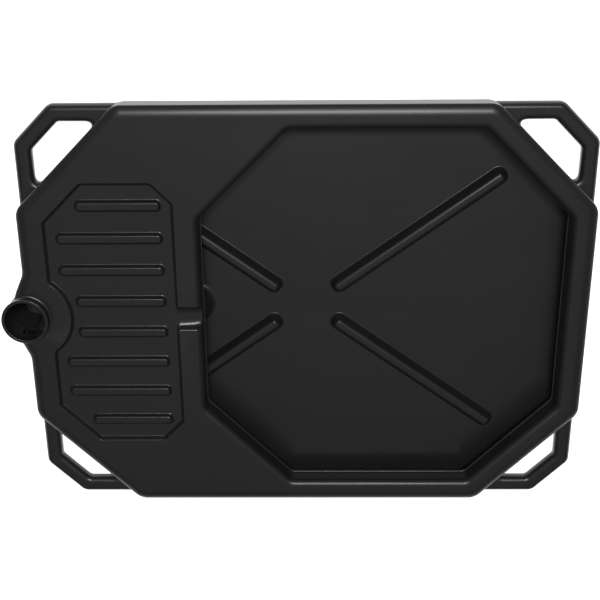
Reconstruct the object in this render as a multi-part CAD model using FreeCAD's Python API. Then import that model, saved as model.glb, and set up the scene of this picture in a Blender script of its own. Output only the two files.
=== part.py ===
"""Oil drain pan: a shallow eight-sided basin under a deck with a drip tray and a pour neck.

The body is a lower pan and an upper deck that meet on a parting plane at half height.
Four grab handles stand on that plane, one at each cut-off corner.
+X points to the basin end, +Y to the back, +Z up.  The origin is the centre of the base.
"""
import FreeCAD
import Part
import math
import os

# ---------------------------------------------------------------- driving sizes, mm
LENGTH = 650.0              # body, without the neck
WIDTH = 492.0
HEIGHT = 50.0               # base to deck
WALL = 3.0
CORNER_CUT = 117.5          # 45 degree corners of the body
CORNER_ROUND = 18.0
PARTING_Z = 25.0            # where the two halves meet, and where the trimmed lip ends
DECK_ROUND = 15.0           # rounding of the deck's outer edge

BULGE_REACH = 14.5          # the end wall swells out round the neck
BULGE_FLAT = 20.0
BULGE_FOOT = 52.0

BASIN_X = (-121.5, 297.5)   # opening in the deck
BASIN_HALF_Y = 220.0
BASIN_CUT = 102.0
BASIN_ROUND = 8.0
BASIN_EDGE = 4.0

TRAY_X = (-297.0, -147.0)   # drip tray
TRAY_HALF_Y = 161.5
TRAY_CUT_OUTER = 46.0
TRAY_CUT_INNER = 24.5
TRAY_DEPTH = 5.0
TRAY_SLOPE = 3.2
TRAY_RIM = 0.8
TRAY_RIB_PITCH = 38.2
TRAY_RIB_BASE = 16.0
TRAY_RIB_TOP = 10.5
TRAY_RIB_INNER_X = -160.0
TRAY_RIB_OUTER_X = (-267.0, -283.5, -283.5, -259.0)     # from the middle of the tray outwards

CHANNEL_X = (-147.0, -117.0)    # from the tray to the basin, through the lip
CHANNEL_HALF_TOP = 13.5
CHANNEL_HALF_FLOOR = 7.0
CHANNEL_DEPTH = 10.0

NECK_X = -323.6
NECK_BORE_R = 23.0
NECK_OUTER_R = 25.5
NECK_RIM_R = 27.0
NECK_RIM_HEIGHT = 4.0
NECK_TOP_Z = HEIGHT + 11.5
NECK_RELIEF = 0.6               # the bore is this much wider below the deck, clear of a stopper
BOSS_FOOT_R = 14.0              # the pan's end wall tapers in below the neck
NECK_CLEARANCE_R = 50.0         # bite that the tray leaves round the neck

HANDLE_OUTER = (323.5, 244.5)   # outer faces of the bars, x and y
HANDLE_BAR = 19.5
HANDLE_HEIGHT = 17.0
HANDLE_OUTER_CUT = 42.5
HANDLE_INNER_CUT = 31.5
HANDLE_ROUND = 7.0
HANDLE_CORNER_ROUND = 12.0
FINGER_GAP_ROUND = 6.5

FLOOR_RIB_START = (39.2, 24.5)  # centres of the rib's two round ends
FLOOR_RIB_END = (218.5, 154.5)
FLOOR_RIB_BASE = 23.0
FLOOR_RIB_TOP = 8.0
FLOOR_RIB_HEIGHT = 13.0

POST_X = -134.8
POST_FOOT_R = 26.5
POST_HEAD_R = 7.0

# the lower pan's side, as (height, inset): draft first, then a rounded bottom edge
PAN_SIDE = ((PARTING_Z, 0.0), (12.0, 2.0), (6.0, 4.2), (2.0, 8.0), (0.0, 13.0))


# ---------------------------------------------------------------- outlines
def offset_outline(outline, inset):
    """Move every side of an anticlockwise outline of (x, y, round) corners inwards."""
    moved = []
    count = len(outline)
    for i in range(count):
        x0, y0, _ = outline[i - 1]
        x1, y1, radius = outline[i]
        x2, y2, _ = outline[(i + 1) % count]
        a = FreeCAD.Vector(x1 - x0, y1 - y0, 0).normalize()
        b = FreeCAD.Vector(x2 - x1, y2 - y1, 0).normalize()
        turn = a.x * b.y - a.y * b.x
        reach = inset / (1 + a.dot(b))
        shift = FreeCAD.Vector(-a.y - b.y, a.x + b.x, 0) * reach
        grown = radius - inset if turn > 0 else radius + inset
        moved.append((x1 + shift.x, y1 + shift.y, max(grown, 0.0)))
    return moved


def outline_wire(outline, z):
    """Closed wire of straight sides and tangent arcs."""
    edges = []
    ends = []
    count = len(outline)
    for i in range(count):
        here = FreeCAD.Vector(outline[i][0], outline[i][1], z)
        back = (FreeCAD.Vector(outline[i - 1][0], outline[i - 1][1], z) - here).normalize()
        ahead_corner = outline[(i + 1) % count]
        ahead = (FreeCAD.Vector(ahead_corner[0], ahead_corner[1], z) - here).normalize()
        radius = outline[i][2]
        half = back.getAngle(ahead) / 2
        if radius < 0.01 or abs(half - math.pi / 2) < 1e-6:
            ends.append((here, None, here))
            continue
        tangent = radius / math.tan(half)
        middle = here + (back + ahead).normalize() * (radius / math.sin(half) - radius)
        ends.append((here + back * tangent, middle, here + ahead * tangent))
    for i in range(count):
        start, middle, stop = ends[i]
        if middle is not None:
            edges.append(Part.Arc(start, middle, stop).toShape())
        following = ends[(i + 1) % count][0]
        if stop.distanceToPoint(following) > 1e-6:
            edges.append(Part.LineSegment(stop, following).toShape())
    return Part.Wire(edges)


def prism(outline, z_low, z_high):
    face = Part.Face(outline_wire(outline, z_low))
    return face.extrude(FreeCAD.Vector(0, 0, z_high - z_low))


def tapered(outline, levels):
    """Solid through the outline's insets, given as (height, inset) pairs."""
    wires = [outline_wire(offset_outline(outline, inset), z) for z, inset in levels]
    return Part.makeLoft(wires, True, True)


def bar_outline(start, stop, width):
    """Outline of a straight bar with round ends, centred on two points."""
    a = FreeCAD.Vector(start[0], start[1], 0)
    b = FreeCAD.Vector(stop[0], stop[1], 0)
    along = (b - a).normalize()
    half = width / 2
    side = FreeCAD.Vector(-along.y, along.x, 0) * half
    corners = (a - along * half - side, b + along * half - side,
               b + along * half + side, a - along * half + side)
    return [(p.x, p.y, half - 0.01) for p in corners]


def raised_rib(start, stop, base, top, z_low, z_high):
    """Rib with sloping sides and ends."""
    slope = (base - top) / 2
    outline = bar_outline(start, stop, base)
    return tapered(outline, ((z_low, 0.0), (z_high, slope)))


def body_outline():
    """Eight-sided body with the swelling round the neck, anticlockwise."""
    x, y, cut = LENGTH / 2, WIDTH / 2, CORNER_CUT
    return [
        (x, -y + cut, CORNER_ROUND), (x, y - cut, CORNER_ROUND),
        (x - cut, y, CORNER_ROUND), (-x + cut, y, CORNER_ROUND),
        (-x, y - cut, CORNER_ROUND), (-x, BULGE_FOOT, 20.0),
        (-x - BULGE_REACH, BULGE_FLAT, 60.0), (-x - BULGE_REACH, -BULGE_FLAT, 60.0),
        (-x, -BULGE_FOOT, 20.0), (-x, -y + cut, CORNER_ROUND),
        (-x + cut, -y, CORNER_ROUND), (x - cut, -y, CORNER_ROUND),
    ]


def basin_outline():
    low, high = BASIN_X
    y, cut = BASIN_HALF_Y, BASIN_CUT
    corners = ((high, -y + cut), (high, y - cut), (high - cut, y), (low + cut, y),
               (low, y - cut), (low, -y + cut), (low + cut, -y), (high - cut, -y))
    return [(cx, cy, BASIN_ROUND) for cx, cy in corners]


def tray_outline():
    low, high = TRAY_X
    y = TRAY_HALF_Y
    corners = ((high, -y + TRAY_CUT_INNER), (high, y - TRAY_CUT_INNER),
               (high - TRAY_CUT_INNER, y), (low + TRAY_CUT_OUTER, y),
               (low, y - TRAY_CUT_OUTER), (low, -y + TRAY_CUT_OUTER),
               (low + TRAY_CUT_OUTER, -y), (high - TRAY_CUT_INNER, -y))
    return [(cx, cy, 6.0) for cx, cy in corners]


def cone(x, r_low, r_high, z_low, z_high):
    return Part.makeCone(r_low, r_high, z_high - z_low, FreeCAD.Vector(x, 0, z_low))


def cylinder(x, radius, z_low, z_high):
    return Part.makeCylinder(radius, z_high - z_low, FreeCAD.Vector(x, 0, z_low))


def edges_at(shape, z, inside):
    """Edges lying at height z whose bounding box fits in the plan box (x0, x1, y0, y1)."""
    x0, x1, y0, y1 = inside
    chosen = []
    for edge in shape.Edges:
        box = edge.BoundBox
        level = abs(box.ZMin - z) < 0.01 and abs(box.ZMax - z) < 0.01
        if level and box.XMin > x0 and box.XMax < x1 and box.YMin > y0 and box.YMax < y1:
            chosen.append(edge)
    return chosen


# ---------------------------------------------------------------- body envelopes
def pan_envelope(inset, z_floor):
    """Outside (inset 0) or inside of the lower pan, with the boss under the neck."""
    levels = [(z, depth + inset) for z, depth in PAN_SIDE if z > z_floor]
    floor_inset = PAN_SIDE[-1][1] + inset * 0.5
    levels.append((z_floor, floor_inset))
    shell = tapered(body_outline(), levels)
    boss = cone(NECK_X, BOSS_FOOT_R - inset, NECK_OUTER_R - inset, z_floor, PARTING_Z)
    return shell.fuse(boss).removeSplitter()


def deck_envelope(inset):
    """Outside (inset 0) or inside of the upper deck, with its rounded edge."""
    top = HEIGHT - inset
    block = prism(offset_outline(body_outline(), inset), PARTING_Z, top)
    big = (-400, 400, -300, 300)
    return block.makeFillet(DECK_ROUND - inset, edges_at(block, top, big))


# ---------------------------------------------------------------- floor ribs and post
def floor_rib_ends():
    for sign_x in (1, -1):
        for sign_y in (1, -1):
            start = (sign_x * FLOOR_RIB_START[0], sign_y * FLOOR_RIB_START[1])
            stop = (sign_x * FLOOR_RIB_END[0], sign_y * FLOOR_RIB_END[1])
            yield start, stop


def make_lower_pan():
    pan = pan_envelope(0.0, 0.0).cut(pan_envelope(WALL, WALL))
    thin = WALL * 0.55
    for start, stop in floor_rib_ends():
        outer = raised_rib(start, stop, FLOOR_RIB_BASE, FLOOR_RIB_TOP,
                           WALL - 0.5, WALL + FLOOR_RIB_HEIGHT)
        inner = raised_rib(start, stop, FLOOR_RIB_BASE - 2 * thin, FLOOR_RIB_TOP - 2 * thin,
                           -0.5, FLOOR_RIB_HEIGHT)
        pan = pan.fuse(outer).cut(inner)
    return pan.cut(post_outside()).removeSplitter()


def post_outside():
    return cone(POST_X, POST_FOOT_R, POST_HEAD_R, 0.0, post_top())


def post_top():
    return HEIGHT - CHANNEL_DEPTH - WALL


def make_support_post():
    """Hollow column, open below, that carries the drain channel."""
    slope = (POST_FOOT_R - POST_HEAD_R) / post_top()
    inner_top = post_top() - WALL
    foot = POST_FOOT_R - WALL
    inner = cone(POST_X, foot + 0.5 * slope, foot - inner_top * slope, -0.5, inner_top)
    lip = prism(offset_outline(basin_outline(), -WALL), PARTING_Z, HEIGHT)
    return post_outside().cut(inner).cut(lip)


# ---------------------------------------------------------------- upper deck and its panels
def tray_plan(inset, z_low, z_high):
    """Block over the tray's plan, with the bite round the neck."""
    block = prism(offset_outline(tray_outline(), inset), z_low, z_high)
    return block.cut(cylinder(NECK_X, NECK_CLEARANCE_R + inset, z_low - 1, z_high + 1))


def channel_section(x, grow, z_top, lower):
    """Section across the channel: wide at the top, narrow at the floor."""
    floor = HEIGHT - CHANNEL_DEPTH - lower
    points = [(-CHANNEL_HALF_TOP - grow, z_top), (-CHANNEL_HALF_FLOOR - grow, floor),
              (CHANNEL_HALF_FLOOR + grow, floor), (CHANNEL_HALF_TOP + grow, z_top)]
    corners = [FreeCAD.Vector(x, y, z) for y, z in points]
    return Part.Face(Part.makePolygon(corners + corners[:1]))


def channel_outside():
    length = FreeCAD.Vector(CHANNEL_X[1] - CHANNEL_X[0], 0, 0)
    return channel_section(CHANNEL_X[0], WALL, HEIGHT, WALL).extrude(length)


def make_drain_channel():
    length = FreeCAD.Vector(CHANNEL_X[1] - CHANNEL_X[0] + 2, 0, 0)
    trough = channel_section(CHANNEL_X[0] - 1, 0.0, HEIGHT, 0.0).extrude(length)
    return channel_outside().cut(trough)


def make_top_deck():
    deck = deck_envelope(0.0).cut(deck_envelope(WALL))
    lip = prism(offset_outline(basin_outline(), -WALL), PARTING_Z, HEIGHT)
    opening = prism(basin_outline(), PARTING_Z - 1, HEIGHT + 1)
    deck = deck.fuse(lip).removeSplitter().cut(opening)
    low, high = BASIN_X
    rim = edges_at(deck, HEIGHT, (low - 1, high + 1, -BASIN_HALF_Y - 1, BASIN_HALF_Y + 1))
    deck = deck.makeFillet(BASIN_EDGE, rim)
    deck = deck.cut(tray_plan(0.0, PARTING_Z, HEIGHT + 1))
    deck = deck.cut(channel_outside())
    return deck.cut(cylinder(NECK_X, NECK_OUTER_R, PARTING_Z - 1, HEIGHT + 1))


def make_drip_tray():
    floor = HEIGHT - TRAY_DEPTH
    tray = tray_plan(0.0, floor - WALL, HEIGHT)
    tray_edge = offset_outline(tray_outline(), TRAY_RIM)
    recess = tapered(tray_edge, ((HEIGHT + 0.01, 0.0), (floor, TRAY_SLOPE)))
    bite = cone(NECK_X, NECK_CLEARANCE_R + TRAY_RIM + TRAY_SLOPE,
                NECK_CLEARANCE_R + TRAY_RIM, floor, HEIGHT + 0.01)
    tray = tray.cut(recess.cut(bite))
    thin = WALL * 0.8
    for side in (1, -1):
        for row, outer_x in enumerate(TRAY_RIB_OUTER_X):
            y = side * (row + 0.5) * TRAY_RIB_PITCH
            half = TRAY_RIB_BASE / 2
            start, stop = (outer_x + half, y), (TRAY_RIB_INNER_X - half, y)
            rib = raised_rib(start, stop, TRAY_RIB_BASE, TRAY_RIB_TOP, floor - 0.5, HEIGHT)
            hollow = raised_rib(start, stop, TRAY_RIB_BASE - 2 * thin, TRAY_RIB_TOP - 2 * thin,
                                floor - WALL - 0.5, HEIGHT - WALL)
            tray = tray.fuse(rib).cut(hollow)
    mouth = channel_section(TRAY_X[1] - 6, 0.0, HEIGHT, 0.0)
    upper = Part.makeBox(8, 60, HEIGHT - floor + 1, FreeCAD.Vector(TRAY_X[1] - 7, -30, floor))
    mouth = mouth.extrude(FreeCAD.Vector(8, 0, 0)).common(upper)
    return tray.cut(mouth).removeSplitter()


def make_pour_neck():
    """Tube above the deck, carried down outside the end wall to the parting plane."""
    tube = cylinder(NECK_X, NECK_OUTER_R, PARTING_Z, NECK_TOP_Z)
    bead = cylinder(NECK_X, NECK_RIM_R, NECK_TOP_Z - NECK_RIM_HEIGHT, NECK_TOP_Z)
    bead = bead.makeFillet(1.2, [e for e in bead.Edges if len(e.Vertexes) == 1])
    deck_inside = HEIGHT - WALL
    bore = cylinder(NECK_X, NECK_BORE_R, deck_inside, NECK_TOP_Z + 1)
    relief = cylinder(NECK_X, NECK_BORE_R + NECK_RELIEF, PARTING_Z - 1, deck_inside)
    return tube.fuse(bead).cut(bore).cut(relief).cut(deck_envelope(WALL)).removeSplitter()


# ---------------------------------------------------------------- handles
def make_corner_handle():
    """Rounded bar round the back right corner, ending on the body's wall."""
    x, y = HANDLE_OUTER
    inner_x, inner_y = x - HANDLE_BAR, y - HANDLE_BAR
    wall_line = LENGTH / 2 + WIDTH / 2 - CORNER_CUT     # x + y along the cut-off corner
    root, hidden = wall_line - 25.0, wall_line - 4.0
    outer = [(x, root - x, 0.0), (x, y - HANDLE_OUTER_CUT, HANDLE_CORNER_ROUND),
             (x - HANDLE_OUTER_CUT, y, HANDLE_CORNER_ROUND), (root - y, y, 0.0)]
    gap = [(hidden - inner_y, inner_y, FINGER_GAP_ROUND),
           (inner_x, hidden - inner_x, FINGER_GAP_ROUND),
           (inner_x, inner_y - HANDLE_INNER_CUT, FINGER_GAP_ROUND),
           (inner_x - HANDLE_INNER_CUT, inner_y, FINGER_GAP_ROUND)]
    low, high = PARTING_Z - HANDLE_HEIGHT / 2, PARTING_Z + HANDLE_HEIGHT / 2
    bar = prism(outer, low, high).cut(prism(gap, low, high))
    everywhere = (-400, 400, -400, 400)
    rims = edges_at(bar, low, everywhere) + edges_at(bar, high, everywhere)
    rims = [edge for edge in rims if not on_line(edge, root)]
    bar = bar.makeFillet(HANDLE_ROUND, rims)
    return bar.cut(deck_envelope(0.0)).cut(pan_envelope(0.0, 0.0))


def on_line(edge, total):
    """True where both ends of an edge have x + y equal to the total."""
    return all(abs(v.Point.x + v.Point.y - total) < 0.01 for v in edge.Vertexes)


def mirrored(shape, flip_x, flip_y):
    origin = FreeCAD.Vector(0, 0, 0)
    if flip_x:
        shape = shape.mirror(origin, FreeCAD.Vector(1, 0, 0))
    if flip_y:
        shape = shape.mirror(origin, FreeCAD.Vector(0, 1, 0))
    return shape


# ---------------------------------------------------------------- all the pieces
def make_all():
    pieces = {
        "lower_pan": make_lower_pan(),
        "support_post": make_support_post(),
        "top_deck": make_top_deck(),
        "drip_tray": make_drip_tray(),
        "drain_channel": make_drain_channel(),
        "pour_neck": make_pour_neck(),
    }
    handle = make_corner_handle()
    pieces["handle_back_right"] = handle
    pieces["handle_back_left"] = mirrored(handle, True, False)
    pieces["handle_front_left"] = mirrored(handle, True, True)
    pieces["handle_front_right"] = mirrored(handle, False, True)
    return pieces


if __name__ == "__main__":
    os.makedirs("parts", exist_ok=True)
    for name, shape in make_all().items():
        solids = shape.Solids
        print(f"{name:20s} solids {len(solids)}  valid {shape.isValid()}"
              f"  volume {shape.Volume / 1000:.1f} cm3")
        shape = solids[0] if len(solids) == 1 else Part.makeCompound(solids)
        shape.exportStep(f"parts/{name}.step")
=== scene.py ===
# %% [markdown]
# # An oil drain pan
#
# A shallow black polyethylene pan that catches the oil of one engine, stores it, and pours it out
# through a neck in one end. The real one is a single blow moulding: a tube of soft plastic is
# blown against two mould halves, and the panel over the basin is cut out afterwards. The lesson
# rebuilds it region by region, so each region is a piece that can be looked at alone.

# %% Load the frame
import math

import bmesh
import bpy
from mathutils import Matrix, Vector


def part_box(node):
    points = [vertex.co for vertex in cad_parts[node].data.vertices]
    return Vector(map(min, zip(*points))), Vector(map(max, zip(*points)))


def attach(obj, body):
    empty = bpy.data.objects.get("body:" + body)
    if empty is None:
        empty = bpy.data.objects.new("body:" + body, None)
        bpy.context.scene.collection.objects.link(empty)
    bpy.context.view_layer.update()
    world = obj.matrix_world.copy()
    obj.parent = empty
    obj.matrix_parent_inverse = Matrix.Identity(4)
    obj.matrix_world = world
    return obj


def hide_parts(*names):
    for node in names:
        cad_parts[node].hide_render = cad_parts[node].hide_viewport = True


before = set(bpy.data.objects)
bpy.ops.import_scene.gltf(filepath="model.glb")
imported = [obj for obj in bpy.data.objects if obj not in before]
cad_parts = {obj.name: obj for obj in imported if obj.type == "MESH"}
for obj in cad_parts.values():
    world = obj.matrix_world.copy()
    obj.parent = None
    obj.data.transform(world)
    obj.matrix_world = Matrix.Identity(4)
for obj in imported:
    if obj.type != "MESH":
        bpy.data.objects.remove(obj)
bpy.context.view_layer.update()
print("nodes in the frame:", ", ".join(sorted(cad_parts)))

# %% [markdown]
# ## Driving dimensions
#
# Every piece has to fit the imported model, so the outer sizes are read from its nodes. The rest
# are the few dimensions of the mould, in millimetres, which is how a toolmaker would list them.
# Blender works in metres, so one constant turns them over.

# %% Driving dimensions
MM = 0.001


def corners_of(node):
    """Lowest and highest corner of a CAD node in millimetres."""
    low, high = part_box(node)
    return [round(v / MM, 3) for v in low], [round(v / MM, 3) for v in high]


DECK_LOW, DECK_HIGH = corners_of("top_deck")
HALF_X, HALF_Y, TOP, PARTING = DECK_HIGH[0], DECK_HIGH[1], DECK_HIGH[2], DECK_LOW[2]
WALL, CORNER_CUT, CORNER_ROUND = 3.0, 117.5, 18.0
CROWN, NOSE, SHOULDER_TILT, SKIN = 18.0, 2.4, math.radians(40), 1.9
LIP_CURL = 1.5
BULGE_REACH, BULGE_FLAT, BULGE_FOOT = 14.5, 20.0, 52.0
BASIN_X, BASIN_Y, BASIN_CUT, BASIN_ROUND, BASIN_EDGE = (-121.5, 297.5), 219.2, 101.7, 8.0, 7.5
TRAY_LOW, TRAY_HIGH = corners_of("drip_tray")
TRAY_CUT_OUTER, TRAY_CUT_INNER, TRAY_DEPTH = 46.0, 24.5, 5.0
NOTCH_Y, NOTCH_HALF = -1.25, 16.0
NECK_X = -323.6
NECK_WALL_OUT, NECK_WALL_IN, NECK_SEAT = 25.5, 23.6, 24.3
TRAY_BITE, BITE_CUSP, TRAY_CORNER = 50.0, 8.0, 6.0
BAR_WIDTH, BAR_PITCH, BAR_INNER_X = 16.0, 38.2, -168
BAR_OUTER_X = (-267.0, -283.5, -283.5, -259.0)
RIB_START, RIB_STOP, RIB_WIDTH = (39.2, 24.5), (218.5, 154.5), 23.0
CHANNEL_UNDER = 12.0
NECK_TOP = corners_of("pour_neck")[1][2]
POST_X = -134.8
print("body", 2 * HALF_X, "by", 2 * HALF_Y, "mm, deck at", TOP, "mm, neck to", NECK_TOP, "mm")

# %% [markdown]
# ## Working habits
#
# An operator acts on whatever is selected, so the first habit is to let go of everything. The
# second is to pick vertices, edges or faces by where they are, which in a script takes the place
# of clicking on them.

# %% Selecting
def free_hands():
    """Leave edit mode and deselect everything."""
    if bpy.context.object and bpy.context.object.mode != "OBJECT":
        bpy.ops.object.mode_set(mode="OBJECT")
    bpy.ops.object.select_all(action="DESELECT")


def take(piece, mode="EDIT"):
    """Make one piece the active one, in edit or object mode."""
    free_hands()
    bpy.context.view_layer.objects.active = piece
    piece.select_set(True)
    bpy.ops.object.mode_set(mode=mode)


def pick(kind, test):
    """Select the vertices, edges or faces of the piece in hand that pass a test."""
    bpy.ops.mesh.select_mode(type=kind)
    bpy.ops.mesh.select_all(action="DESELECT")
    data = bpy.context.object.data
    mesh = bmesh.from_edit_mesh(data)
    chosen = [item for item in {"VERT": mesh.verts, "EDGE": mesh.edges, "FACE": mesh.faces}[kind]
              if test(item)]
    for item in chosen:
        item.select_set(True)
    bmesh.update_edit_mesh(data)
    return len(chosen)


def at_height(item, z):
    """True where all of an edge or face lies at a height in millimetres."""
    return all(abs(v.co.z - z * MM) < 1e-6 for v in item.verts)


# %% [markdown]
# ## Outlines
#
# The mould is drawn as outlines with straight sides and rounded corners. Each starts as a circle
# with one vertex per corner, whose vertices are moved to the corners, and the corners are then
# rounded by a vertex bevel. A corner that turns by an angle needs a bevel of the radius times the
# tangent of half that angle, because the bevel is measured along the sides.

# %% Starting from an outline
def ring(name, points, fill="NGON"):
    """A closed ring of points in millimetres, filled or not, left open in edit mode."""
    free_hands()
    bpy.ops.mesh.primitive_circle_add(vertices=len(points), radius=0.1, fill_type=fill)
    piece = bpy.context.object
    piece.name = piece.data.name = name
    bpy.ops.object.mode_set(mode="EDIT")
    for index, point in enumerate(points):
        pick("VERT", lambda v: v.index == index)
        mesh = bmesh.from_edit_mesh(piece.data)
        mesh.verts.ensure_lookup_table()
        here = mesh.verts[index].co.copy()
        bpy.ops.transform.translate(value=Vector(point) * MM - here)
    return piece


def chain(name, points):
    """An open line of points: a ring without its closing edge."""
    piece = ring(name, points, fill="NOTHING")
    ends = [Vector(points[0]) * MM, Vector(points[-1]) * MM]
    pick("EDGE", lambda e: all(min((v.co - end).length for end in ends) < 1e-7 for v in e.verts))
    bpy.ops.mesh.delete(type="EDGE")
    return piece


def outline(name, corners, z, segments=6):
    """A flat face whose corners, given as (x, y, radius), are rounded; its normal points up."""
    piece = ring(name, [(x, y, z) for x, y, _ in corners])
    by_offset = {}
    for i, (x, y, radius) in enumerate(corners):
        x0, y0, _ = corners[i - 1]
        x1, y1, _ = corners[(i + 1) % len(corners)]
        turn = Vector((x - x0, y - y0)).angle(Vector((x1 - x, y1 - y)), 0.0)
        if radius > 0 and turn > 0.01:
            offset = round(radius * math.tan(turn / 2), 4)
            by_offset.setdefault(offset, []).append(Vector((x, y, z)) * MM)
    for offset, places in by_offset.items():
        pick("VERT", lambda v: any((v.co - place).length < 1e-6 for place in places))
        bpy.ops.mesh.bevel(offset=offset * MM, offset_type="OFFSET", segments=segments,
                           affect="VERTICES")
    pick("FACE", lambda f: True)
    if pick("FACE", lambda f: f.normal.z < 0):
        bpy.ops.mesh.flip_normals()
    pick("FACE", lambda f: True)
    return piece


def grown(corners, distance):
    """The same corners with every side moved outwards, for an anticlockwise outline."""
    moved = []
    for i, (x, y, radius) in enumerate(corners):
        x0, y0, _ = corners[i - 1]
        x1, y1, _ = corners[(i + 1) % len(corners)]
        a, b = Vector((x - x0, y - y0)).normalized(), Vector((x1 - x, y1 - y)).normalized()
        shift = Vector((a.y + b.y, -a.x - b.x)) * (distance / (1 + a.dot(b)))
        convex = a.x * b.y - a.y * b.x > 0
        larger = radius + distance if convex else radius - distance
        moved.append((x + shift.x, y + shift.y, max(larger, 0.0) if radius > 0 else 0.0))
    return moved


# %% [markdown]
# ## Profiles
#
# A moulded wall is an outline that moves inwards as it rises or falls. Inset does both at once,
# with its thickness and its depth, and extrude makes the upright stretches. So a wall with
# a rounded edge is a list of (inset, height) pairs that the selected face follows.

# %% Following a profile
def follow(profile):
    """Take the selected face through (inset, height) pairs, leaving a wall behind it."""
    for (inset, z), (next_inset, next_z) in zip(profile, profile[1:]):
        if next_inset - inset < 1e-6:
            bpy.ops.mesh.extrude_region_move(
                TRANSFORM_OT_translate={"value": (0, 0, (next_z - z) * MM)})
        else:
            bpy.ops.mesh.inset(thickness=(next_inset - inset) * MM, depth=(next_z - z) * MM,
                               use_even_offset=True)


def arc(centre, radius, start, stop, steps):
    """Points of an arc of a profile; angles in degrees from the inset axis towards up."""
    angles = [math.radians(start + (stop - start) * k / steps) for k in range(steps + 1)]
    return [(centre[0] + radius * math.cos(a), centre[1] + radius * math.sin(a))
            for a in angles]


def clear_face():
    """Remove the face that the profile ended on and keep its edge."""
    bpy.ops.mesh.delete(type="ONLY_FACE")


def joined(main, *others):
    """Join pieces into the first one and leave it in edit mode."""
    free_hands()
    for piece in (main, *others):
        piece.select_set(True)
    bpy.context.view_layer.objects.active = main
    bpy.ops.object.join()
    take(main)
    return main


def weld():
    """Merge doubled vertices and point the faces outwards."""
    bpy.ops.mesh.select_mode(type="VERT")
    bpy.ops.mesh.select_all(action="SELECT")
    bpy.ops.mesh.remove_doubles(threshold=2e-6)
    bpy.ops.mesh.normals_make_consistent(inside=False)


def modify(piece, kind, **settings):
    """Add one modifier, set it and apply it."""
    take(piece, "OBJECT")
    modifier = piece.modifiers.new(kind.title(), kind)
    for key, value in settings.items():
        setattr(modifier, key, value)
    bpy.ops.object.modifier_apply(modifier=modifier.name)


def finish_surface(piece, angle=38):
    """Smooth shading with normals held flat on the large faces."""
    take(piece, "OBJECT")
    bpy.ops.object.shade_smooth_by_angle(angle=math.radians(angle))
    modify(piece, "WEIGHTED_NORMAL", keep_sharp=True, weight=60)
    low = [round(min(v.co[i] for v in piece.data.vertices) / MM, 1) for i in range(3)]
    high = [round(max(v.co[i] for v in piece.data.vertices) / MM, 1) for i in range(3)]
    print(piece.name, "from", low, "to", high, "mm,", len(piece.data.polygons), "faces")


# %% [markdown]
# ## The body's outline
#
# The body is a rectangle with its corners cut off at 45 degrees, and one end swells round the
# pouring neck. Deck and pan share it, so it is written once.

# %% Outlines of the body, the basin and the tray
BODY = [(HALF_X, -HALF_Y + CORNER_CUT, CORNER_ROUND), (HALF_X, HALF_Y - CORNER_CUT, CORNER_ROUND),
        (HALF_X - CORNER_CUT, HALF_Y, CORNER_ROUND), (-HALF_X + CORNER_CUT, HALF_Y, CORNER_ROUND),
        (-HALF_X, HALF_Y - CORNER_CUT, CORNER_ROUND), (-HALF_X, BULGE_FOOT, 20.0),
        (-HALF_X - BULGE_REACH, BULGE_FLAT, 60.0), (-HALF_X - BULGE_REACH, -BULGE_FLAT, 60.0),
        (-HALF_X, -BULGE_FOOT, 20.0), (-HALF_X, -HALF_Y + CORNER_CUT, CORNER_ROUND),
        (-HALF_X + CORNER_CUT, -HALF_Y, CORNER_ROUND),
        (HALF_X - CORNER_CUT, -HALF_Y, CORNER_ROUND)]


def basin_corners():
    """The opening over the basin, with two extra points where the channel crosses its edge."""
    low, high = BASIN_X
    y, cut = BASIN_Y, BASIN_CUT
    points = [(high, -y + cut), (high, y - cut), (high - cut, y), (low + cut, y), (low, y - cut),
              (low, -y + cut), (low + cut, -y), (high - cut, -y)]
    rounded = [(px, py, BASIN_ROUND) for px, py in points]
    notch = [(low, NOTCH_Y + NOTCH_HALF, 0.0), (low, NOTCH_Y - NOTCH_HALF, 0.0)]
    return rounded[:5] + notch + rounded[5:]


def tray_corners():
    """The drip tray, with the bite round the neck and two points where the channel leaves."""
    low, high, y = TRAY_LOW[0], TRAY_HIGH[0], TRAY_HIGH[1]
    reach = math.asin(math.sqrt(TRAY_BITE ** 2 - (low - NECK_X) ** 2) / TRAY_BITE)
    bite = []
    for k in range(13):
        angle = reach * (1 - 2 * k / 12)
        bite.append((NECK_X + TRAY_BITE * math.cos(angle), TRAY_BITE * math.sin(angle),
                     BITE_CUSP if k in (0, 12) else 0.0))
    r = TRAY_CORNER
    return [(high, -y + TRAY_CUT_INNER, r),
            (high, NOTCH_Y - NOTCH_HALF, 0.0), (high, NOTCH_Y + NOTCH_HALF, 0.0),
            (high, y - TRAY_CUT_INNER, r), (high - TRAY_CUT_INNER, y, r),
            (low + TRAY_CUT_OUTER, y, r), (low, y - TRAY_CUT_OUTER, r), *bite,
            (low, -y + TRAY_CUT_OUTER, r), (low + TRAY_CUT_OUTER, -y, r),
            (high - TRAY_CUT_INNER, -y, r)]


print("body corners", len(BODY), "basin", len(basin_corners()), "tray", len(tray_corners()))

# %% [markdown]
# ## The top deck
#
# The deck is the upper mould half: an upright rim, a generous rounding, and a flat top with two
# holes in it. The rounding is a wide crown that leaves off at a steep angle and turns into the
# upright rim over a much smaller nose. One hole is the basin, whose edge turns down into a lip,
# and the other is the place of the drip tray. The rim and the lip follow profiles, and the flat
# top is filled between the three edges, as a sheet is cut to fit round openings. The channel
# crosses the strip between basin and tray, so the strip is left out there and the two holes run
# together.

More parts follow.
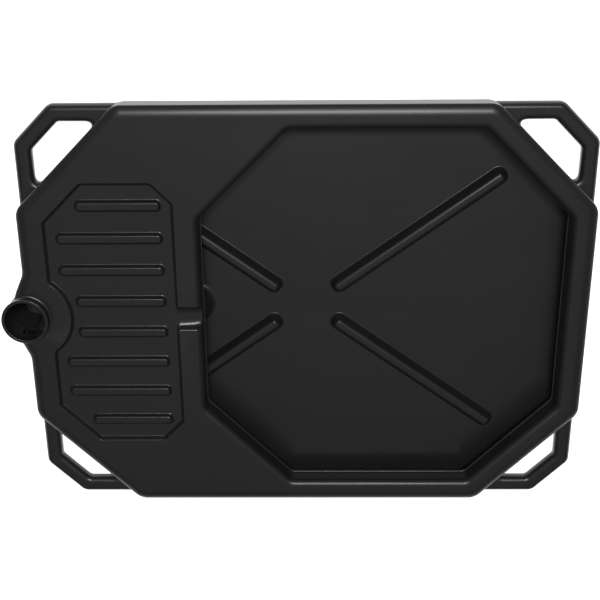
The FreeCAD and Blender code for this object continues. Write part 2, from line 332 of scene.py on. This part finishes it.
# %% The deck's rim, lip and flat top
deck = outline("top_deck_shell", BODY, PARTING, segments=8)
shoulder = SHOULDER_TILT
crown_in, crown_down = CROWN * math.sin(shoulder), CROWN * (1 - math.cos(shoulder))
nose_in, nose_down = NOSE * (1 - math.sin(shoulder)), NOSE * math.cos(shoulder)
edge_z = TOP - crown_down
rim = [(0.0, PARTING), (0.0, edge_z - nose_down)]
rim += [(NOSE * (1 - math.cos(a)), edge_z - nose_down + NOSE * math.sin(a))
        for a in [(math.pi / 2 - shoulder) * k / 3 for k in (1, 2, 3)]]
rim += [(nose_in + crown_in - CROWN * math.sin(a), TOP - CROWN * (1 - math.cos(a)))
        for a in [shoulder * k / 9 for k in range(8, -1, -1)]]
follow(rim)
print("flat top starts", round(rim[-1][0], 1), "mm in from the side")
clear_face()
pick("FACE", lambda f: at_height(f, PARTING))
bpy.ops.mesh.delete(type="FACE")

opening = outline("opening", grown(basin_corners(), BASIN_EDGE), TOP)
edge = arc((0.0, TOP - BASIN_EDGE), BASIN_EDGE, 90, 0, 6)
curl = [(BASIN_EDGE + LIP_CURL + i, z) for i, z in
        arc((0.0, PARTING + 2.2 + LIP_CURL), LIP_CURL, 180, 270, 6)]
trimmed_end = (BASIN_EDGE + LIP_CURL + 0.3, curl[-1][1])
follow(edge + [(BASIN_EDGE, TOP - CHANNEL_UNDER)] + curl + [trimmed_end])
clear_face()

tray_edge = outline("tray_edge", tray_corners(), TOP)
clear_face()

joined(deck, opening, tray_edge)


def in_notch(item, margin=0.01):
    """True between the two points where the channel crosses, above the channel's underside."""
    low_x, high_x = TRAY_HIGH[0] - 1, BASIN_X[0] + 1
    return all(low_x * MM < v.co.x < high_x * MM
               and abs(v.co.y - NOTCH_Y * MM) < (NOTCH_HALF + margin) * MM
               and v.co.z > (TOP - CHANNEL_UNDER - margin) * MM for v in item.verts)


print("faces cut for the channel:", pick("FACE", in_notch))
bpy.ops.mesh.delete(type="FACE")
print("edge over the channel removed:", pick("EDGE", lambda e: in_notch(e) and not e.link_faces))
bpy.ops.mesh.delete(type="EDGE")
for side in (1, -1):
    notch_y = (NOTCH_Y + side * NOTCH_HALF) * MM
    pick("VERT", lambda v: abs(v.co.y - notch_y) < 1e-6 and abs(v.co.z - TOP * MM) < 1e-6
         and (TRAY_HIGH[0] - 1) * MM < v.co.x < BASIN_X[0] * MM)
    bpy.ops.mesh.edge_face_add()
print("edges round the flat top:",
      pick("EDGE", lambda e: at_height(e, TOP) and len(e.link_faces) < 2))
bpy.ops.mesh.fill(use_beauty=True)
weld()


# %% [markdown]
# ## The deck's thickness
#
# A blow moulding is a skin, so the deck gets its wall as a modifier, inwards from the face that
# touched the mould. The skin thins where it was blown into the nose of the rim, and has to stay
# thinner than the nose's radius there, or its inner face would fold over itself. Then the seat of
# the neck is bored through it. The lip curls inwards at its foot, where the panel over the basin
# was cut out, and a fine bevel breaks the cut edge.

# %% Wall, neck seat and trimmed lip
def face_up(test):
    """Turn the whole piece the right way if the faces that pass the test point down."""
    if pick("FACE", lambda f: test(f) and f.normal.z < -0.5):
        bpy.ops.mesh.select_all(action="SELECT")
        bpy.ops.mesh.flip_normals()


def bored(piece, x, radius, z_low, z_high):
    """Cut a round hole through a piece, and remove the cutter."""
    free_hands()
    bpy.ops.mesh.primitive_cylinder_add(vertices=96, radius=radius * MM,
                                        depth=(z_high - z_low) * MM,
                                        location=(x * MM, 0, (z_low + z_high) / 2 * MM))
    cutter = bpy.context.object
    modify(piece, "BOOLEAN", operation="DIFFERENCE", object=cutter, solver="EXACT")
    bpy.data.objects.remove(cutter)


face_up(lambda f: at_height(f, TOP))
modify(deck, "SOLIDIFY", thickness=SKIN * MM, offset=-1.0)
bored(deck, NECK_X, NECK_SEAT, PARTING - 5, TOP + 5)
modify(deck, "BEVEL", width=0.3 * MM, segments=2, limit_method="ANGLE",
       angle_limit=math.radians(60))
deck.name = "deck_moulding"
finish_surface(deck)
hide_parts("top_deck")

# %% [markdown]
# ## The drip tray
#
# The tray is a shallow sunk panel where filters are left to drain, with eight raised bars that
# hold them clear of the oil. Its edge rolls over, slopes down 5 mm and meets the floor in
# a small fillet, all one profile. A bar is the same thing upwards: a long outline with round
# ends whose face rises and narrows. The floor is then filled round the bars.

# %% The tray and its eight bars
def bar_outline(start, stop, width):
    """Corners of a straight bar with round ends, centred on two points."""
    a, b = Vector(start), Vector(stop)
    along = (b - a).normalized() * (width / 2)
    side = Vector((-along.y, along.x))
    return [(p.x, p.y, 0.44 * width)
            for p in (a - along - side, b + along - side, b + along + side, a - along + side)]


def raised_bar(name, start, stop, width, profile):
    """A hollow bar standing on a floor, with a foot fillet and a rounded top."""
    piece = outline(name, bar_outline(start, stop, width), profile[0][1], segments=8)
    follow(profile)
    return piece


TRAY_FLOOR = TOP - TRAY_DEPTH
TRAY_EDGE = [(0.0, TOP), (0.35, TOP), (0.8, TOP - 0.12), (1.2, TOP - 0.5), (1.5, TOP - 1.05),
             (3.3, TRAY_FLOOR + 1.0), (3.75, TRAY_FLOOR + 0.42), (4.3, TRAY_FLOOR + 0.1),
             (5.0, TRAY_FLOOR)]
BAR_SLOPE, BAR_ROUND = 68, 2.3
TRAY_BAR = arc((0.0, TRAY_FLOOR + BAR_ROUND), BAR_ROUND, -90, BAR_SLOPE - 90, 5)
slope_run = ((TRAY_DEPTH - 2 * (TRAY_BAR[-1][1] - TRAY_FLOOR))
             / math.tan(math.radians(BAR_SLOPE)))
bar_top_start = 2 * TRAY_BAR[-1][0] + slope_run
TRAY_BAR += arc((bar_top_start, TOP - BAR_ROUND), BAR_ROUND, 90 + BAR_SLOPE, 90, 5)
print("a bar's flat top is", round(BAR_WIDTH - 2 * TRAY_BAR[-1][0], 1), "mm wide")
tray = outline("tray_shell", tray_corners(), TOP)
follow(TRAY_EDGE)
clear_face()
print("faces cut for the channel:", pick("FACE", lambda f: all(
    v.co.x > (TRAY_HIGH[0] - 5.5) * MM
    and abs(v.co.y - NOTCH_Y * MM) < (NOTCH_HALF + 0.3) * MM for v in f.verts)))
bpy.ops.mesh.delete(type="FACE")
pick("EDGE", lambda e: not e.link_faces)
bpy.ops.mesh.delete(type="EDGE")
bars = []
for side in (1, -1):
    for row, outer_x in enumerate(BAR_OUTER_X):
        y = side * (row + 0.5) * BAR_PITCH
        bars.append(raised_bar("tray_bar", (outer_x + BAR_WIDTH / 2, y), (BAR_INNER_X, y),
                               BAR_WIDTH, TRAY_BAR))
joined(tray, *bars)
mouth_x = TRAY_HIGH[0] - TRAY_EDGE[-1][0]
mouth_ends = [Vector((mouth_x, NOTCH_Y + side * NOTCH_HALF, TRAY_FLOOR)) * MM
              for side in (1, -1)]
pick("VERT", lambda v: any((v.co - end).length < 2e-5 for end in mouth_ends))
bpy.ops.mesh.edge_face_add()
print("edges round the tray's floor:",
      pick("EDGE", lambda e: at_height(e, TRAY_FLOOR) and len(e.link_faces) < 2))
bpy.ops.mesh.fill(use_beauty=True)
weld()
face_up(lambda f: at_height(f, TRAY_FLOOR))
modify(tray, "SOLIDIFY", thickness=2.4 * MM, offset=-1.0)
tray.name = "drip_tray_panel"
finish_surface(tray, angle=50)
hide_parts("drip_tray")

# %% [markdown]
# ## The drain channel
#
# Oil runs from the tray's floor through a short saddle into the basin. Its section is a trough
# with flared edges. The section is drawn once where the tray's edge ends, then extruded station
# by station. At each station it is squeezed or stretched in height about its floor, so that its
# edges follow the tray's edge at one end and the basin's rounded lip at the other.

# %% The channel's saddle
LIP_EDGE = [(BASIN_X[0] - BASIN_EDGE + i, z)
            for i, z in arc((0.0, TOP - BASIN_EDGE), BASIN_EDGE, 90, 0, 6)]
TRAY_SIDE = [(TRAY_HIGH[0] - inset, z) for inset, z in TRAY_EDGE]
CHANNEL_FALL = (TRAY_SIDE[-1][0], TRAY_FLOOR, BASIN_X[0], TOP - 10.0)


def channel_floor(x):
    """Height of the channel's floor, falling evenly from the tray to the basin."""
    x0, z0, x1, z1 = CHANNEL_FALL
    return z0 + (z1 - z0) * (x - x0) / (x1 - x0)


HALF_SECTION = [(16.0, 1.0), (15.3, 0.995), (14.6, 0.975), (14.0, 0.925), (13.4, 0.85),
                (11.3, 0.385), (10.4, 0.28), (9.3, 0.19), (8.1, 0.12), (6.8, 0.065),
                (5.4, 0.025), (4.0, 0.005), (3.0, 0.0)]
start_x = TRAY_HIGH[0]
deep = TOP - channel_floor(start_x)
section = ([(-y, t) for y, t in HALF_SECTION] + [(y, t) for y, t in reversed(HALF_SECTION)])
channel = chain("channel_shell", [(start_x, NOTCH_Y + y, channel_floor(start_x) + t * deep)
                                  for y, t in section])


def carry_section(stations, x_now, z_now):
    """Extrude the selected section through (x, edge height) stations."""
    for x, z in stations:
        bpy.ops.mesh.extrude_region_move(TRANSFORM_OT_translate={
            "value": ((x - x_now) * MM, 0, (channel_floor(x) - channel_floor(x_now)) * MM)})
        floor = channel_floor(x)
        scale = (z - floor) / max(z_now - channel_floor(x_now), 1e-6)
        bpy.ops.transform.resize(value=(1, 1, scale), center_override=(0, 0, floor * MM))
        x_now, z_now = x, z


def at_start(edge):
    return all(abs(v.co.x - start_x * MM) < 1e-6 for v in edge.verts)


pick("EDGE", at_start)
carry_section(TRAY_SIDE[1:-1] + [(TRAY_SIDE[-1][0], TRAY_FLOOR + 0.02)], start_x, TOP)
pick("EDGE", at_start)
carry_section(LIP_EDGE, start_x, TOP)
under = (TOP - CHANNEL_UNDER) * MM
bpy.ops.mesh.extrude_region_move()
bpy.ops.transform.resize(value=(1, 1, 0), center_override=(0, 0, under))
weld()
face_up(lambda f: True)
modify(channel, "SOLIDIFY", thickness=2.0 * MM, offset=-1.0)
channel.name = "drain_channel_saddle"
finish_surface(channel, angle=60)
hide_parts("drain_channel")

# %% [markdown]
# ## The lower pan
#
# The lower mould half is the basin that holds the oil. Its side has draft, a few degrees of
# slope that let the moulding leave its mould, and a rounded bottom edge. Four long ribs cross the
# floor. Only the inside is seen from above, so the inside is what is modelled, and the wall is
# then grown outwards. A rib's underside comes out hollow, as it does in a moulding. Below the
# neck a boss, a stump of a cone, carries the wall out to the neck's width. It is united with the
# pan and hollowed, and the hollow's floor stays a hair above the pan's own, because a cut that
# lies in a face leaves slivers behind.

# %% The pan's inside, its floor and ribs
FLOOR = WALL
PAN_INSIDE = [(3.0, PARTING), (4.9, 13.0), (5.3, 10.8), (6.2, 8.6), (7.7, 6.6), (9.8, 4.9),
              (12.4, 3.75), (15.2, 3.15), (17.8, FLOOR)]
RIB = [(0.0, FLOOR), (0.7, 3.1), (1.3, 3.45), (1.75, 4.0), (2.1, 4.7)]
RIB += arc((9.9, 11.0), 5.0, 157, 90, 8)
pan = outline("pan_shell", grown(BODY, -PAN_INSIDE[0][0]), PARTING, segments=8)
follow(PAN_INSIDE)
clear_face()
ribs = []
for sign_x in (1, -1):
    for sign_y in (1, -1):
        ends = [(sign_x * x, sign_y * y) for x, y in (RIB_START, RIB_STOP)]
        ribs.append(raised_bar("floor_rib", *ends, RIB_WIDTH, RIB))
joined(pan, *ribs)
print("edges round the pan's floor:",
      pick("EDGE", lambda e: at_height(e, FLOOR) and len(e.link_faces) < 2))
bpy.ops.mesh.fill(use_beauty=True)
weld()
face_up(lambda f: at_height(f, FLOOR))
modify(pan, "SOLIDIFY", thickness=WALL * MM, offset=-1.0)



def stump(r_low, r_high, z_low, z_high):
    """A solid stump of a cone round the neck's axis, with its place in its mesh."""
    free_hands()
    bpy.ops.mesh.primitive_cone_add(vertices=96, radius1=r_low * MM, radius2=r_high * MM,
                                    depth=(z_high - z_low) * MM,
                                    location=(NECK_X * MM, 0, (z_low + z_high) / 2 * MM))
    bpy.ops.object.transform_apply(location=True)
    return bpy.context.object


boss = stump(14.0, NECK_WALL_OUT, 0.0, PARTING)
take(boss)
pick("FACE", lambda f: True)
bpy.ops.mesh.bisect(plane_co=((NECK_X + 4.0) * MM, 0, 0), plane_no=(-1, 0, 0), use_fill=True,
                    clear_inner=True)
hollow = stump(13.2, 24.1, FLOOR + 0.05, PARTING + 1.0)
modify(pan, "BOOLEAN", operation="UNION", object=boss, solver="EXACT")
modify(pan, "BOOLEAN", operation="DIFFERENCE", object=hollow, solver="EXACT")
for cutter in (boss, hollow):
    bpy.data.objects.remove(cutter)
pan.name = "pan_moulding"
finish_surface(pan)
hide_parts("lower_pan")

# %% [markdown]
# ## Parts turned round an axis
#
# The neck and the post under the channel are round. Half of the section is drawn as a line and
# spun round the axis, as on a lathe. A spin can turn a shape inside out, so its doubles are
# merged and its normals recalculated afterwards. The neck's foot flares on the deck and fades out
# round the side that overhangs the wall.

# %% The pouring neck and the support post
def turned(name, section, x, angle=360.0, start=0.0, steps=72, closed=True):
    """Spin a section of (radius, height) points round an upright axis at x."""
    swing = Matrix.Rotation(math.radians(start), 3, "Z")
    centre = Vector((x, 0, 0))
    points = [centre + swing @ Vector((r, 0, z)) for r, z in section]
    piece = ring(name, points, fill="NOTHING") if closed else chain(name, points)
    if angle < 360:
        bpy.ops.mesh.select_mode(type="EDGE")
        bpy.ops.mesh.select_all(action="SELECT")
        bpy.ops.mesh.edge_face_add()
    bpy.ops.mesh.select_mode(type="EDGE")
    bpy.ops.mesh.select_all(action="SELECT")
    bpy.ops.mesh.spin(steps=steps, angle=math.radians(angle), center=centre * MM,
                      axis=(0, 0, 1))
    weld()
    return piece


NECK_FOOT = [(25.7, TOP + 1.9), (26.2, TOP + 0.95), (27.0, TOP + 0.3), (28.0, TOP)]
FOOT_FADE = [(88, 96, 0.85), (96, 104, 0.6), (104, 112, 0.35), (112, 120, 0.15), (120, 181, 0.0)]
NECK = [(23.0, 44.0), (23.0, NECK_TOP - 1.1), (23.15, NECK_TOP - 0.6), (23.5, NECK_TOP - 0.2),
        (24.0, NECK_TOP), (25.9, NECK_TOP), (26.5, NECK_TOP - 0.2), (26.88, NECK_TOP - 0.6),
        (27.0, NECK_TOP - 1.2), (27.0, NECK_TOP - 3.0), (26.85, NECK_TOP - 3.5),
        (26.4, NECK_TOP - 3.9), (25.9, NECK_TOP - 4.2), (25.6, NECK_TOP - 4.8),
        (NECK_WALL_OUT, TOP + 3.2), *NECK_FOOT, (25.4, TOP - 1.5), (25.4, 44.0)]
neck = turned("neck_tube", NECK, NECK_X, steps=96)
for low, high, keep in FOOT_FADE:
    for radius, z in NECK_FOOT:
        pick("VERT", lambda v: abs(v.co.z - z * MM) < 1e-6
             and Vector((v.co.x - NECK_X * MM, v.co.y)).length > (NECK_WALL_OUT + 0.1) * MM
             and low <= abs(math.degrees(math.atan2(v.co.y, v.co.x - NECK_X * MM))) < high)
        narrower = (NECK_WALL_OUT + (radius - NECK_WALL_OUT) * keep) / radius
        bpy.ops.transform.resize(value=(narrower, narrower, 1),
                                 center_override=(NECK_X * MM, 0, 0))
SKIRT = [(NECK_WALL_IN, PARTING), (NECK_WALL_OUT, PARTING), (NECK_WALL_OUT, TOP),
         (NECK_WALL_IN, TOP)]
skirt = turned("neck_skirt", SKIRT, NECK_X, angle=130, start=245, steps=32)
neck = joined(neck, skirt)
neck.name = "pour_neck_tube"
finish_surface(neck, angle=50)
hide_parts("pour_neck")

POST_TOP = corners_of("support_post")[1][2]
POST = [(28.2, FLOOR - 0.5)] + arc((28.2, FLOOR + 7.0), 7.0, 270, 202, 8)
POST += [(8.3, POST_TOP - 2.2), (7.6, POST_TOP - 1.1), (6.4, POST_TOP - 0.3), (5.0, POST_TOP),
         (0.0, POST_TOP)]
post = turned("support_post_column", POST, POST_X, steps=72, closed=False)
pick("EDGE", lambda e: at_height(e, FLOOR - 0.5))
bpy.ops.mesh.edge_face_add()
weld()
finish_surface(post, angle=50)
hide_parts("support_post")

# %% [markdown]
# ## The corner handles
#
# Each cut-off corner carries a bar that is wide enough for a gloved hand. It is one closed band in
# plan, with a fillet where it runs into the body, and its section is a rounded block. Half of the
# block is made as a profile and mirrored down, then the root is trimmed inside the body's wall.
# The other three handles are mirrored copies.

# %% One handle and its three copies
HANDLE_LOW, HANDLE_HIGH = corners_of("handle_back_right")
HX, HY, BAR = 323.5, 244.5, 19.5
HANDLE_MID = (HANDLE_LOW[2] + HANDLE_HIGH[2]) / 2
WALL_LINE = HALF_X + HALF_Y - CORNER_CUT
ROOT, HIDDEN = WALL_LINE - 30.0, WALL_LINE - 1.0
IX, IY = HX - BAR, HY - BAR
REACH = 30.0 / math.sqrt(2)
DEEP = (HIDDEN - ROOT) / 2
HANDLE = [(HX, ROOT - HX, 0), (HX, HY - 42.5, 12), (HX - 42.5, HY, 12), (ROOT - HY, HY, 0),
          (HIDDEN - IY + REACH - DEEP, IY - REACH - DEEP, 0),
          (HIDDEN - IY + REACH, IY - REACH, 0), (HIDDEN - IY, IY, 6.5),
          (IX - 31.5, IY, 6.5), (IX, IY - 31.5, 6.5), (IX, HIDDEN - IX, 6.5),
          (IX - REACH, HIDDEN - IX + REACH, 0), (IX - REACH - DEEP, HIDDEN - IX + REACH - DEEP, 0)]
handle = outline("handle_back_right_bar", HANDLE, HANDLE_MID, segments=8)
half_block = [(0.0, HANDLE_MID), (0.0, HANDLE_MID + 1.5)]
half_block += [(7.0 - i, z) for i, z in arc((0.0, HANDLE_MID + 1.5), 7.0, 0, 90, 8)][1:]
follow(half_block)
pick("FACE", lambda f: at_height(f, HANDLE_MID))
bpy.ops.mesh.delete(type="FACE")
bpy.ops.mesh.select_mode(type="FACE")
bpy.ops.mesh.select_all(action="SELECT")
bpy.ops.mesh.duplicate_move()
bpy.ops.transform.resize(value=(1, 1, -1), center_override=(0, 0, HANDLE_MID * MM))
weld()
bpy.ops.mesh.select_all(action="SELECT")
bpy.ops.mesh.bisect(plane_co=((WALL_LINE - 5.0) * MM, 0, 0), plane_no=(1, 1, 0), use_fill=True,
                    clear_inner=True)
weld()
handles = {"handle_back_right": handle}
for name, flip in (("handle_back_left", (-1, 1, 1)), ("handle_front_left", (-1, -1, 1)),
                   ("handle_front_right", (1, -1, 1))):
    take(handle, "OBJECT")
    bpy.ops.object.duplicate()
    copy = bpy.context.object
    copy.name = copy.data.name = name + "_bar"
    take(copy)
    bpy.ops.mesh.select_all(action="SELECT")
    bpy.ops.transform.resize(value=flip, center_override=(0, 0, 0))
    weld()
    handles[name] = copy
for name, piece in handles.items():
    finish_surface(piece, angle=45)
    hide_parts(name)

# %% [markdown]
# ## Shader arithmetic
#
# The plastic's finish is worked out with arithmetic on noise, so one small class wraps a socket
# and lets Python's own signs add the Math nodes. A second one holds a material and adds any other
# node from its type, its settings and its inputs.

# %% A material as a recipe
class Wire:
    """A socket that can be added, subtracted and multiplied."""

    def __init__(self, recipe, socket):
        self.recipe, self.socket = recipe, socket

    def maths(self, operation, first, second):
        return self.recipe.node("ShaderNodeMath", {"operation": operation}, [first, second])

    def __add__(self, other):
        return self.maths("ADD", self, other)

    def __radd__(self, other):
        return self.maths("ADD", other, self)

    def __sub__(self, other):
        return self.maths("SUBTRACT", self, other)

    def __rsub__(self, other):
        return self.maths("SUBTRACT", other, self)

    def __mul__(self, other):
        return self.maths("MULTIPLY", self, other)

    def __rmul__(self, other):
        return self.maths("MULTIPLY", other, self)


class Recipe:
    """A material and the nodes that make it."""

    def __init__(self, name):
        self.material = bpy.data.materials.new(name)
        self.material.use_nodes = True
        self.tree = self.material.node_tree
        self.tree.nodes.clear()
        self.place = self.node("ShaderNodeTexCoord", output="Object")

    def node(self, kind, settings=None, inputs=(), output=0):
        """Add a node, set it first, then fill its inputs by place or by name."""
        node = self.tree.nodes.new(kind)
        for key, value in (settings or {}).items():
            setattr(node, key, value)
        pairs = inputs.items() if isinstance(inputs, dict) else enumerate(inputs)
        for key, value in pairs:
            if isinstance(value, Wire):
                self.tree.links.new(value.socket, node.inputs[key])
            else:
                node.inputs[key].default_value = value
        return Wire(self, node.outputs[output]) if node.outputs else node

    def noise(self, scale, detail=2.0, stretch=(1, 1, 1), shift=(0, 0, 0)):
        """Noise from 0 to 1, with so many features to the metre, stretched along an axis."""
        place = self.node("ShaderNodeMapping", {}, {"Vector": self.place, "Scale": stretch,
                                                    "Location": shift})
        return self.node("ShaderNodeTexNoise", {"noise_dimensions": "3D"},
                         {"Vector": place, "Scale": scale, "Detail": detail, "Roughness": 0.55},
                         output="Fac")

    def ramp(self, value, low, high):
        """0 below low, 1 above high, and smooth between."""
        return self.node("ShaderNodeMapRange", {"interpolation_type": "SMOOTHSTEP"},
                         {"Value": value, "From Min": low, "From Max": high})

    def mix(self, amount, first, second):
        """Mix two colours."""
        return self.node("ShaderNodeMix", {"data_type": "RGBA"},
                         {0: amount, 6: first, 7: second}, output=2)

    def surface(self, **inputs):
        """End with a principled surface and its output."""
        names = {key.replace("_", " "): value for key, value in inputs.items()}
        shader = self.node("ShaderNodeBsdfPrincipled", {}, names)
        self.node("ShaderNodeOutputMaterial", {}, {"Surface": shader})
        return self.material


# %% [markdown]
# ## Black polyethylene
#
# High-density polyethylene filled with carbon black is never quite black or quite matt. It keeps
# the fine grain of a blasted mould, about half a millimetre across, under a waxy skin whose gloss
# wanders where the plastic cooled unevenly. Flow streaks run along the parison. Handling leaves
# pale scuffs, most of all on edges, which the pointiness of the mesh finds. Every region gets the
# same recipe with its own strengths, as one moulding would. The one exception is the pan, whose
# colour is made darker as painted shade for the basin under the deck.

# %% The plastic's recipe
def polyethylene(name, painted_shade_tone=1.0, gloss=0.0, grain=1.0, scuffs=0.4, wear=1.0,
                 seam=PARTING):
    """Black moulded plastic; gloss lowers the roughness, a tone below one darkens the colour as
    painted shade, and the rest scale its details.
    """
    r = Recipe(name)
    cloud = r.noise(7.0, 3.0)
    flow = r.noise(26.0, 3.0, stretch=(0.16, 1.0, 1.0), shift=(0.3, 0.1, 0.0))
    fine = r.noise(1500.0, 2.0)
    pebble = r.noise(520.0, 1.0, shift=(0.0, 0.7, 0.2))
    scratch = r.noise(330.0, 2.0, stretch=(1.0, 0.045, 0.3), shift=(0.2, 0.0, 0.5))
    cross = r.noise(300.0, 2.0, stretch=(0.05, 1.0, 0.3), shift=(0.6, 0.4, 0.0))
    patches = r.ramp(r.noise(15.0, 2.0, shift=(2.0, 1.0, 0.0)), 0.56, 0.74)
    scuffed = (r.ramp(scratch, 0.66, 0.74) + r.ramp(cross, 0.67, 0.75)) * patches * scuffs
    point = r.node("ShaderNodeNewGeometry", output="Pointiness")
    worn = r.ramp(point + (fine - 0.5) * 0.03 + (cloud - 0.5) * 0.05, 0.53, 0.62) * wear
    # A tone below one darkens every base colour; where it is used, on the pan, it is painted
    # shade.
    shade = r.mix(cloud, (0.0112 * painted_shade_tone, 0.0115 * painted_shade_tone, 0.0126 * painted_shade_tone, 1),
                  (0.0142 * painted_shade_tone, 0.0145 * painted_shade_tone, 0.0158 * painted_shade_tone, 1))
    shade = r.mix(r.ramp(flow, 0.3, 0.7) * 0.5, shade,
                  (0.0152 * painted_shade_tone, 0.0155 * painted_shade_tone, 0.0168 * painted_shade_tone, 1))
    shade = r.mix(scuffed * 0.5 + worn * 0.3, shade,
                  (0.040, 0.041, 0.044, 1))
    rough = (0.345 - gloss) + (cloud - 0.5) * 0.10 + (flow - 0.5) * 0.07 + (fine - 0.5) * 0.05
    rough = rough + scuffed * 0.16 + worn * 0.08
    height = fine * (0.45 * grain) + pebble * (0.75 * grain) + flow * 1.3 + cloud * 2.2
    height = height - scuffed * 0.5
    depth = r.node("ShaderNodeSeparateXYZ", {}, [r.place], output="Z") - seam * MM
    from_seam = r.node("ShaderNodeMath", {"operation": "ABSOLUTE"}, [depth])
    height = height + (1.0 - r.ramp(from_seam, 0.0002, 0.0006)) * 4.0
    bump = r.node("ShaderNodeBump", {}, {"Height": height, "Strength": 0.22,
                                         "Distance": 0.00012})
    return r.surface(Base_Color=shade, Roughness=rough, Normal=bump, IOR=1.5)


def finish(piece, material):
    """Give a piece its material and attach it to its body."""
    piece.data.materials.clear()
    piece.data.materials.append(material)
    for polygon in piece.data.polygons:
        polygon.material_index = 0
    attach(piece, "root")


free_hands()
finish(deck, polyethylene("deck_polyethylene"))
finish(tray, polyethylene("tray_polyethylene", scuffs=0.5, gloss=0.06))
finish(channel, polyethylene("channel_polyethylene", gloss=0.06))
# The pan is the same plastic as the deck; its darker tone is painted shade for the basin under the
# deck.
finish(pan, polyethylene("pan_polyethylene_painted_shade", painted_shade_tone=0.9, gloss=-0.04))
finish(neck, polyethylene("neck_polyethylene", gloss=0.05, wear=1.5))
finish(post, polyethylene("post_polyethylene", gloss=0.05))
grip = polyethylene("handle_polyethylene", gloss=0.03, wear=1.4, seam=HANDLE_MID)
for piece in handles.values():
    finish(piece, grip)
print("materials:", len(bpy.data.materials))

# %% [markdown]
# ## Floor, light and camera
#
# The pan lies on a pale studio floor. Black plastic shows its shape by what it mirrors, so the
# key light is one broad soft panel behind the camera, whose reflection draws the edges that lean
# that way. A wide dim ceiling fills the flat faces, in a room that is darker still. The camera
# looks down steeply from the key's side, like a person standing at the pan's long edge.

# %% Floor
free_hands()
bpy.ops.mesh.primitive_plane_add(size=60.0, location=(0, 0, -0.0005))
floor = bpy.context.object
floor.name = "studio_floor"
pale = Recipe("studio_floor_pale")
spots = pale.noise(3.0, 2.0)
floor.data.materials.append(pale.surface(
    Base_Color=pale.mix(spots, (0.86, 0.86, 0.86, 1), (0.88, 0.88, 0.88, 1)), Roughness=0.9,
    Emission_Color=(1.0, 1.0, 1.0, 1), Emission_Strength=0.95))

# %% Light
world = bpy.data.worlds.new("dim_room")
bpy.context.scene.world = world
world.use_nodes = True
world.node_tree.nodes["Background"].inputs["Color"].default_value = (0.95, 0.97, 1.0, 1)
world.node_tree.nodes["Background"].inputs["Strength"].default_value = 0.14


def panel(name, place, aim, size, power):
    """A rectangular soft light that faces a point."""
    bpy.ops.object.light_add(type="AREA", location=place)
    lamp = bpy.context.object
    lamp.name = name
    lamp.data.shape, lamp.data.size, lamp.data.size_y = "RECTANGLE", size[0], size[1]
    lamp.data.energy = power
    lamp.rotation_euler = (Vector(aim) - Vector(place)).to_track_quat("-Z", "Y").to_euler()
    return lamp


panel("soft_key", (0.10, 1.10, 2.40), (0, 0, 0), (1.0, 0.45), 40.0)
panel("ceiling", (0.0, -1.1, 3.2), (0.0, -1.1, 0), (3.4, 2.8), 6.6)

# %% Camera
TILT, ROLL, TURN = math.radians(22.02), math.radians(-0.716), math.radians(0.155)
bpy.ops.object.camera_add()
camera = bpy.context.object
camera.name = "camera"
view = (Matrix.Rotation(TURN, 3, "Z") @ Matrix.Rotation(ROLL, 3, "Y")
        @ Matrix.Rotation(TILT, 3, "X")).transposed()
camera.matrix_world = Matrix.Translation((0.0076, 0.4731, 1.1654)) @ view.to_4x4()
camera.data.lens, camera.data.sensor_width = 63.0, 36.0
camera.data.clip_start = 0.01
bpy.context.scene.camera = camera
bpy.context.scene.view_settings.view_transform = "Standard"
print("camera at", [round(v, 3) for v in camera.matrix_world.translation])

# %% Finish
free_hands()
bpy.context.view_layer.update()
